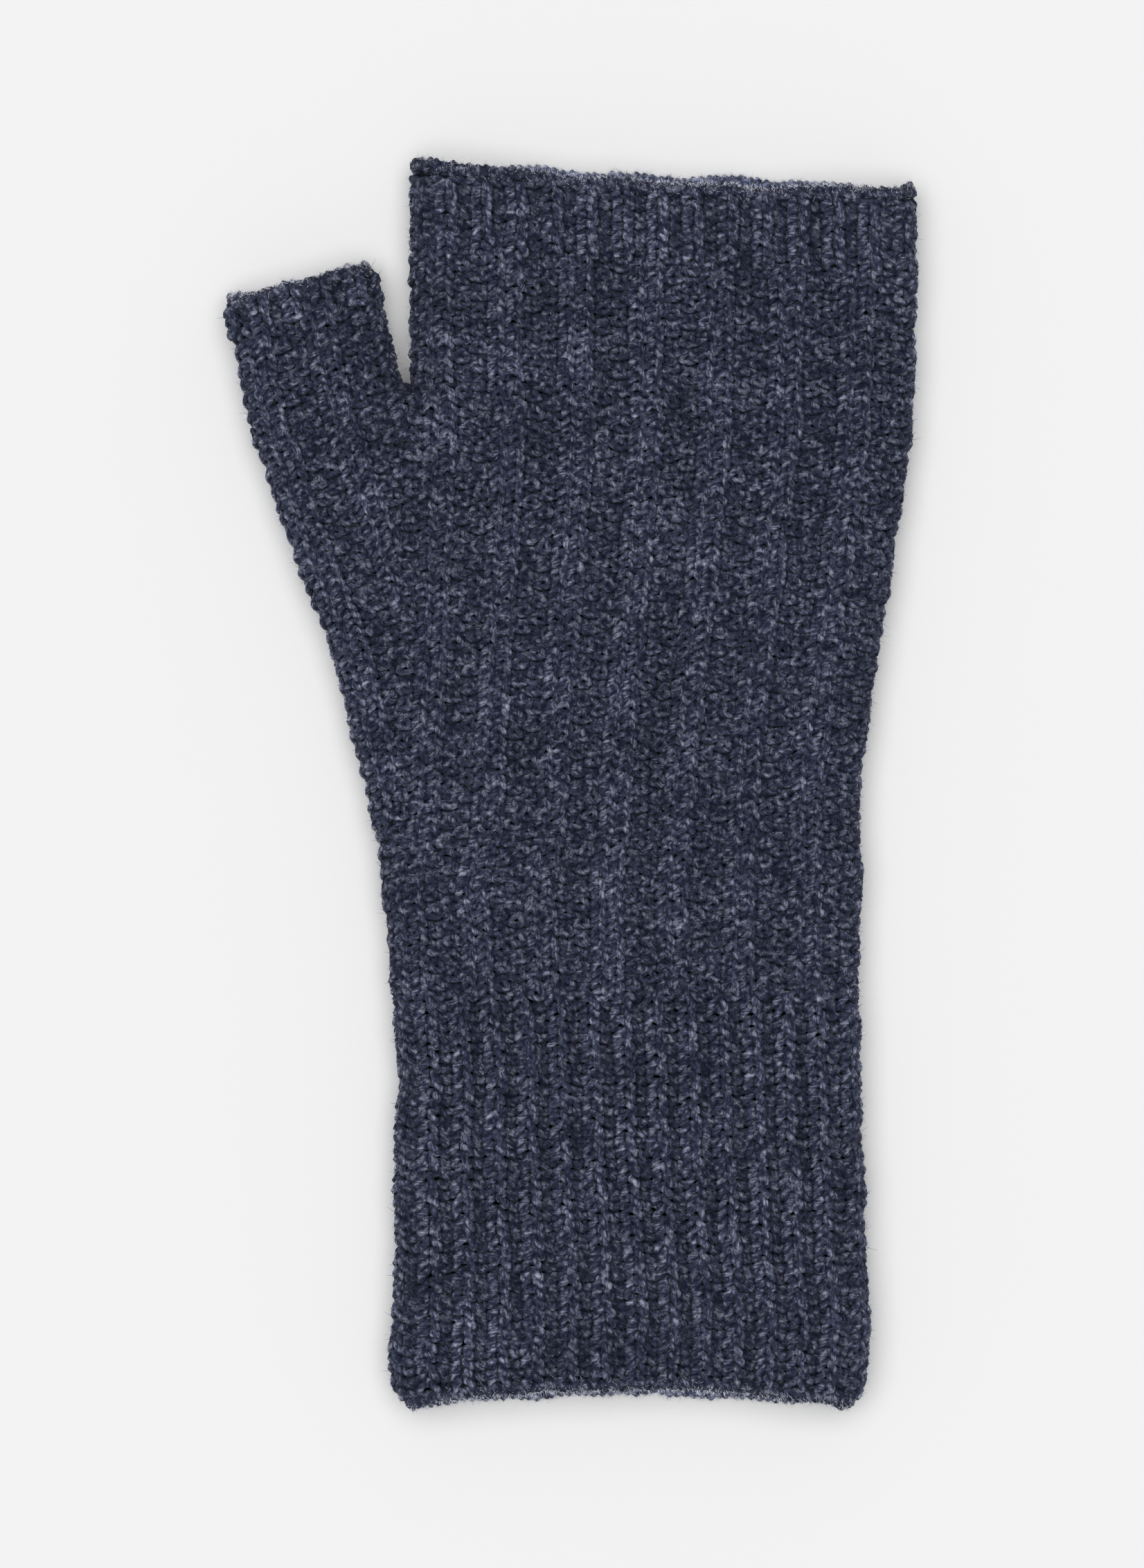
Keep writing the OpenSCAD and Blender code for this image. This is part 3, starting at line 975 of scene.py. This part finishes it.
def edge_rings():
    """Lines round the three openings, with their outward normals.

    Each wavers a little. On the back it lies further in than on the palm, by less towards the folds, and by
    most on the finger opening away from the thumb.
    """
    q = np.linspace(0, 2 * WALES, EDGE_STEPS)
    on_back = np.clip(q, 0, WALES)
    back = np.sin(np.pi * on_back / WALES) ** 0.35
    wavy = 0.25 * np.sin(q * 1.1 + 0.4) + 0.2 * np.sin(q * 0.47 + 2.0)
    lower = 0.8 + 1.6 * ease((on_back - 3) / 9)
    top = Glove.top_left - 0.45 - lower * back * (q < WALES) + wavy
    hem = Glove.hem_y + 0.3 + 2.1 * back * (q < WALES) - 0.6 * wavy

    count = np.full(THUMB_EDGE_STEPS, gusset_count(THUMB_TOP))
    share = np.linspace(1e-3, 1, THUMB_EDGE_STEPS)
    tip = THUMB_TOP - 1.0 + 0.25 * np.sin(share * 19)
    over = thumb_surface(share * count, tip - 1.2 * np.sin(np.pi * share) ** 0.35, count)
    under = thumb_surface(-share[::-1] * count, tip[::-1], count)
    thumb = tuple(np.concatenate([a, b[1:]]) for a, b in zip(over, under))
    return {"finger": body_surface(q, top), "cuff": cuff_surface(q, hem), "thumb": thumb}


class GLOVE_OT_edges(bpy.types.Operator):
    """Binds off the finger opening, the thumb and the hem with a chain of yarn"""
    bl_idname = "glove.edges"
    bl_label = "Bound edges"

    def execute(self, context):
        yarn = context.scene.glove_yarn
        rng = seeded(40)
        for name, (line, outward) in edge_rings().items():
            yarns = Yarns(6)
            proud = 0.25 if name == "thumb" else 0.5
            for path, _ in chain_path(line, outward, CHAIN_LINK, CHAIN_HALF, proud):
                knots = rng.normal(0, 0.16, (len(path) // 12 + 2, 3))
                path = path + at_length(np.arange(len(path)) / 12, np.arange(len(knots)), knots)
                # Painted light: the palm's strands lie lower than the back's edge and in its shade, and a
                # large rise paints them palest.
                low = ease((Glove.height / 2 + 1 - path[:, 2]) / 2)
                up = np.broadcast_to([0.0, 0.0, 1.0], path.shape)
                yarns.add(path, up, yarn.radius * 1.02, rng.uniform(0, 500), 7.0 * low)
            piece = yarns.make(f"{name}_edge_chain", wool_named("edge_wool"))
            finish_piece(piece, f"{name}_edge", BODIES[name])
            MADE[piece.name] = (yarns.lines, "edge", BODIES[name])
        return {"FINISHED"}


def seam_path(line, outward, bump, rng, pitch=3.0, reach=1.7, steps=14):
    """Sewing yarn that joins two layers at a fold.

    It winds round the fold once every pitch along the line: height = reach sin, and outward = 0.4 + bump cos,
    with a bump and a place of its own for each turn.
    """
    s = arc_length(line)
    count = max(int(round(s[-1] / pitch)), 1)
    turns = np.arange(count + 1)
    t = np.linspace(0, count, count * steps + 1)
    bump = bump * np.interp(t, turns, rng.uniform(0.35, 1.35, count + 1))
    at = (t + 0.16 * np.interp(t, turns, rng.normal(0, 1, count + 1))).clip(0, count) / count * s[-1]
    base, out = at_length(at, s, line), at_length(at, s, outward)
    path = base + out * (0.4 + bump * np.cos(2 * np.pi * t))[:, None]
    path[:, 2] += reach * np.sin(2 * np.pi * t)
    return path, out


def wale_line(surface, q, low, high):
    """Line up a sleeve at wale q, with its outward normals."""
    y = np.arange(low, high, 0.5)
    return surface(np.full_like(y, q), y)


def thumb_line(share, low, high):
    """Line up the gusset or thumb at a share of its width from the outer edge, with its outward normals."""
    y = np.arange(low, high, 0.5)
    count = np.array([gusset_count(v) for v in y])
    return thumb_surface(np.maximum(share * count, 1e-3), y, count)


def seam_lines():
    """Each seam's line with its outward normals, and its bodies."""
    wrist, top, tip = Glove.wrist_y, Glove.top_left - 2.0, THUMB_TOP - 1.5
    gusset = wale_line(body_surface, 0.0, wrist, GUSSET_Y + 1)
    upper = thumb_line(0.0, GUSSET_Y + 1.5, CROTCH_Y)
    hem = Glove.hem_y + 1.5
    return {
        "little_finger_seam": (wale_line(body_surface, WALES, wrist + 0.5, top), BODIES["hand"]),
        "index_finger_seam": (wale_line(body_surface, 0.0, CROTCH_Y + 2.5, top), BODIES["hand"]),
        "gusset_seam": (tuple(np.concatenate([a, b]) for a, b in zip(gusset, upper)), BODIES["hand"]),
        "thumb_outer_seam": (thumb_line(0.0, CROTCH_Y + 0.5, tip), BODIES["thumb"]),
        "thumb_inner_seam": (thumb_line(1.0, CROTCH_Y + 2.5, tip), BODIES["thumb"]),
        "cuff_little_finger_seam": (wale_line(cuff_surface, WALES, hem, wrist - 0.5), BODIES["cuff"]),
        "cuff_thumb_seam": (wale_line(cuff_surface, 0.0, hem, wrist - 0.5), BODIES["cuff"]),
    }


class GLOVE_OT_seams(bpy.types.Operator):
    """Sews the side seams, the gusset and thumb seams, and the stitches at the crotch"""
    bl_idname = "glove.seams"
    bl_label = "Seams"

    def execute(self, context):
        yarn = context.scene.glove_yarn
        rng = seeded(50)
        for name, ((line, outward), bodies) in seam_lines().items():
            yarns = Yarns(6)
            path, normal = seam_path(line, outward, 0.5 if name == "index_finger_seam" else 0.3, rng)
            # Painted light: a rise of 3.2 paints the sewing yarn paler, as a pale halo along the seams.
            yarns.add(path, normal + [0, 0, 0.8], yarn.radius * 0.95, rng.uniform(0, 500), 3.2)
            piece = yarns.make(f"{name}_yarn", wool_named("seam_wool"))
            finish_piece(piece, name, bodies)
            MADE[piece.name] = (yarns.lines, "seam", bodies)

        # Four turns of yarn close the corner between thumb and hand.
        t = np.linspace(0, 4, 120)
        centre = np.array([*Glove.crotch, Glove.height / 2]) + np.array([0.2, -2.2, 0])
        path = centre + np.stack([
            1.3 * np.cos(2 * np.pi * t) + 0.25 * (t - 2),
            0.9 * np.sin(2 * np.pi * t + 0.6) - 0.5 * (t - 2),
            (CAP - 0.6) * np.sin(2 * np.pi * t)], -1)
        yarns = Yarns(6)
        yarns.add(path, np.broadcast_to([0.0, -1.0, 0.2], path.shape), yarn.radius, 11.0)
        piece = yarns.make("crotch_stitches_yarn", wool_named("seam_wool"))
        finish_piece(piece, "crotch_stitches", BODIES["hand"])
        return {"FINISHED"}


class GLOVE_OT_yarn_ends(bpy.types.Operator):
    """Leaves the three woven-in yarn ends inside the glove"""
    bl_idname = "glove.yarn_ends"
    bl_label = "Yarn ends"

    def execute(self, context):
        yarn = context.scene.glove_yarn
        for name in ("finger", "thumb", "cuff"):
            co = corners(f"{name}_yarn_end")
            centre = co.mean(0)
            spread = np.linalg.svd(co - centre, full_matrices=False)[2][0]
            half = np.abs((co - centre) @ spread).max() - yarn.radius
            t = np.linspace(-1, 1, 60)
            across = np.cross(spread, [0, 0, 1])
            path = centre + spread * (half * t)[:, None] + across * (0.5 * np.sin(t * 9))[:, None]
            path[:, 2] += 0.2 * np.cos(t * 9)
            yarns = Yarns(8)
            thin = yarn.radius * np.clip((1 - np.abs(t)) * 14, 0.25, 1) ** 0.5
            # A rise of 3 paints the tail paler, with the tone of proud yarn in the painted light.
            yarns.add(path, np.broadcast_to([0.0, 0.0, 1.0], path.shape), thin, 3.0)
            piece = yarns.make(f"{name}_yarn_end_tail", wool_named("edge_wool"))
            finish_piece(piece, f"{name}_yarn_end", BODIES[name])
        return {"FINISHED"}


# ---------------------------------------------------------------- loose fibres

ROW_SHARE = 0.33  # length of a row as a share of its yarn's
FUZZ_PER_PIECE = 13500  # most fibres in one piece


def fibres(root, away, along, length, thick, curl, rng):
    """Loose fibres as closed three-sided tubes that taper and curl.

    A fibre's line is root + length (s start + curl s squared bend), with s from 0 to 1, start between away
    and along, and bend random. It returns points, quads, caps and UVs for all fibres together.
    """
    n = len(root)
    start = away + along * (rng.choice([-1.0, 1.0], n) * rng.uniform(0.1, 1.3, n))[:, None]
    start /= np.linalg.norm(start, axis=1, keepdims=True)
    bend = rng.normal(0, curl, (n, 3))
    s = np.linspace(0, 1, 3)
    line = root[:, None, :] + length[:, None, None] * (
        start[:, None, :] * s[None, :, None] + bend[:, None, :] * (s**2)[None, :, None])
    line[..., 2] = np.maximum(line[..., 2], 0.05)
    side_a = np.cross(start, away + 0.01)
    side_a /= np.linalg.norm(side_a, axis=1, keepdims=True) + 1e-9
    side_b = np.cross(start, side_a)
    angle = (np.arange(3) / 3 * 2 * np.pi)[None, :, None]
    ring = side_a[:, None, :] * np.cos(angle) + side_b[:, None, :] * np.sin(angle)
    thin = thick * np.array([1.0, 0.85, 0.3])
    points = line[:, :, None, :] + ring[:, None, :, :] * thin[None, :, None, None]
    base = np.arange(n)[:, None, None] * 9
    j = np.arange(2)[None, :, None] * 3
    k = np.arange(3)[None, None, :]
    k1 = (k + 1) % 3
    quads = np.stack([base + j + k, base + j + k1, base + j + 3 + k1, base + j + 3 + k], -1).reshape(n, 6, 4)
    ends = np.arange(n)[:, None] * 9
    caps = np.stack([ends + np.array([2, 1, 0]), ends + np.array([6, 7, 8])], 1)
    u = rng.uniform(0, 500, n)[:, None, None, None] + np.broadcast_to((j * 0.4)[..., None], (1, 2, 3, 4))
    # Every fibre lies at the yarn's top in the painted top light, so it takes the paler tone all round.
    v = np.full(u.shape, 0.5)
    return points.reshape(n, 9, 3), quads, caps, np.stack([u, v], -1).reshape(n, 6, 4, 2)


def fuzz_pieces(name, made, material, bodies):
    """Pieces of at most FUZZ_PER_PIECE fibres each."""
    points, quads, caps, uv = made
    parts = int(np.ceil(len(points) / FUZZ_PER_PIECE))
    for p in range(parts):
        a, b = p * FUZZ_PER_PIECE, min((p + 1) * FUZZ_PER_PIECE, len(points))
        # Each fibre has a rise of 0.6, which paints it a little paler.
        piece = mesh_piece(name if parts == 1 else f"{name}_{p + 1}", points[a:b].reshape(-1, 3),
                           quads[a:b].reshape(-1, 4) - a * 9, caps[a:b].reshape(-1, 3) - a * 9, uv[a:b],
                           np.full((b - a) * 9, 0.6), material)
        finish_piece(piece, None, bodies)


def fibre_roots(lines, per_mm, rng):
    """Points on lines of yarn where fibres start, at random, with the lines' normals and directions there."""
    roots, outs, alongs = [], [], []
    for path, normal, kind in lines:
        count = rng.poisson(arc_length(path)[-1] * ROW_SHARE * per_mm[kind])
        if count == 0 or len(path) < 3:
            continue
        at = rng.integers(1, len(path) - 1, count)
        roots.append(path[at])
        outs.append(normal[at])
        alongs.append(path[at + 1] - path[at - 1])
    root, out, along = (np.concatenate(a) for a in (roots, outs, alongs))
    return root, out, along / (np.linalg.norm(along, axis=1, keepdims=True) + 1e-9)


def fringe_out(root, out):
    """Directions away from the glove in its plane: along it at an opening, sideways at a fold."""
    flat = out * [1, 1, 0.3]
    on_edge = (np.abs(flat[:, :2]).sum(1) < 0.5)[:, None]
    out = np.where(on_edge, [[0.0, 1.0, 0.2]], flat)
    low = root[:, 1] < Glove.hem_y + 8
    out[low & on_edge[:, 0]] = [0.0, -1.0, 0.1]
    return out / (np.linalg.norm(out, axis=1, keepdims=True) + 1e-9)


class GLOVE_OT_fuzz(bpy.types.Operator):
    """Raises loose fibres out of the yarn, and a denser pale fringe along the edges and seams"""
    bl_idname = "glove.fuzz"
    bl_label = "Fuzz"

    def execute(self, context):
        fuzz = context.scene.glove_fuzz
        radius = context.scene.glove_yarn.radius
        rng = seeded(60)
        per_mm = {"back": fuzz.per_mm, "palm": fuzz.per_mm * 0.25,
                  "edge": fuzz.edge_per_mm, "seam": fuzz.edge_per_mm}
        groups = {}
        for lines_of, kind, bodies in MADE.values():
            group = groups.setdefault((bodies, kind in ("edge", "seam")), [])
            group.extend((*line, kind) for line in lines_of)
        for (bodies, fringe), group in groups.items():
            root, out, along = fibre_roots(group, per_mm, rng)
            if fringe:
                out = fringe_out(root, out)
            across = np.cross(along, out)
            across /= np.linalg.norm(across, axis=1, keepdims=True) + 1e-9
            turn = rng.normal(0, 0.9, len(root))[:, None]
            away = out * np.cos(turn) + across * np.sin(turn)
            longest = fuzz.edge_length if fringe else fuzz.length
            length = longest * rng.beta(1.5, 3.0, len(root)) + 0.25
            made = fibres(root + away * radius * 0.8, away, along, length, fuzz.radius, 0.4, rng)
            name = "edge_fuzz" if fringe else "fuzz"
            fuzz_pieces(f"{name}_{bodies[-1]}", made, wool_named(f"{name}_wool"), bodies)
        return {"FINISHED"}


# ---------------------------------------------------------------- stage

FLOOR_HALF = 3.0  # half of the floor's width, in metres
KEY_LIGHT_FROM = (-0.06, 0.05, 1.0)  # direction that the key light comes from
CAMERA_XY = (0.00012, 0.0003)  # where the camera hangs, in metres
SENSOR = 36  # width of the camera's sensor, in millimetres


class GLOVE_OT_stage(bpy.types.Operator):
    """Lays the pale floor and sets the soft light and the camera straight above"""
    bl_idname = "glove.stage"
    bl_label = "Stage"

    def execute(self, context):
        scene = context.scene
        stage = scene.glove_stage
        mesh = bpy.data.meshes.new("floor")
        half = FLOOR_HALF
        mesh.from_pydata([(-half, -half, 0), (half, -half, 0), (half, half, 0), (-half, half, 0)],
                         [], [(0, 1, 2, 3)])
        floor = bpy.data.objects.new("floor", mesh)
        scene.collection.objects.link(floor)
        paper = bpy.data.materials.new("floor_paper")
        paper.use_nodes = True
        shader = paper.node_tree.nodes["Principled BSDF"]
        shader.inputs["Base Color"].default_value = linear(stage.floor)
        shader.inputs["Roughness"].default_value = 1.0
        shader.inputs["Specular IOR Level"].default_value = 0.0
        mesh.materials.append(paper)

        lamp = bpy.data.lights.new("key_light", "SUN")
        lamp.energy = stage.sun
        lamp.angle = stage.softness
        key = bpy.data.objects.new("key_light", lamp)
        key.rotation_euler = Vector(KEY_LIGHT_FROM).to_track_quat("Z", "Y").to_euler()
        scene.collection.objects.link(key)
        world = bpy.data.worlds.new("soft_room")
        world.use_nodes = True
        background = world.node_tree.nodes["Background"]
        background.inputs[0].default_value = (1, 1, 1, 1)
        background.inputs[1].default_value = stage.sky
        scene.world = world

        camera = bpy.data.cameras.new("camera")
        camera.sensor_width = SENSOR
        camera.lens = stage.lens
        camera.clip_start = 0.01
        above = bpy.data.objects.new("camera", camera)
        above.location = (*CAMERA_XY, stage.framed * stage.lens / SENSOR + Glove.height / 2 * MM)
        scene.collection.objects.link(above)
        scene.camera = above
        scene.view_settings.view_transform = "Standard"
        return {"FINISHED"}


class GLOVE_PT_panel(bpy.types.Panel):
    """Lists the glove's pieces and settings"""
    bl_idname = "GLOVE_PT_panel"
    bl_label = "Glove"
    bl_space_type = "VIEW_3D"
    bl_region_type = "UI"
    bl_category = "Glove"

    def draw(self, context):
        for operator in OPERATORS:
            self.layout.operator(operator.bl_idname)
        for group in GROUPS:
            box = self.layout.box()
            for key in GROUPS[group].__annotations__:
                box.prop(getattr(context.scene, group), key)


OPERATORS = (GLOVE_OT_cuff, GLOVE_OT_hand, GLOVE_OT_band, GLOVE_OT_thumb, GLOVE_OT_edges, GLOVE_OT_seams,
             GLOVE_OT_yarn_ends, GLOVE_OT_fuzz, GLOVE_OT_stage)
GROUPS = {"glove_yarn": GLOVE_PG_yarn, "glove_fuzz": GLOVE_PG_fuzz, "glove_colours": GLOVE_PG_colours,
          "glove_stage": GLOVE_PG_stage}


def register():
    """Registers the settings, operators and panel."""
    for cls in (*GROUPS.values(), *OPERATORS, GLOVE_PT_panel):
        bpy.utils.register_class(cls)
    for name, cls in GROUPS.items():
        setattr(bpy.types.Scene, name, bpy.props.PointerProperty(type=cls))


def unregister():
    """Takes away what register added."""
    for name in GROUPS:
        delattr(bpy.types.Scene, name)
    for cls in (GLOVE_PT_panel, *reversed(OPERATORS), *reversed(tuple(GROUPS.values()))):
        bpy.utils.unregister_class(cls)


def main():
    """Builds every piece in order."""
    register()
    for operator in OPERATORS:
        name = operator.bl_idname.split(".")[1]
        getattr(bpy.ops.glove, name)()


if __name__ == "__main__":
    main()
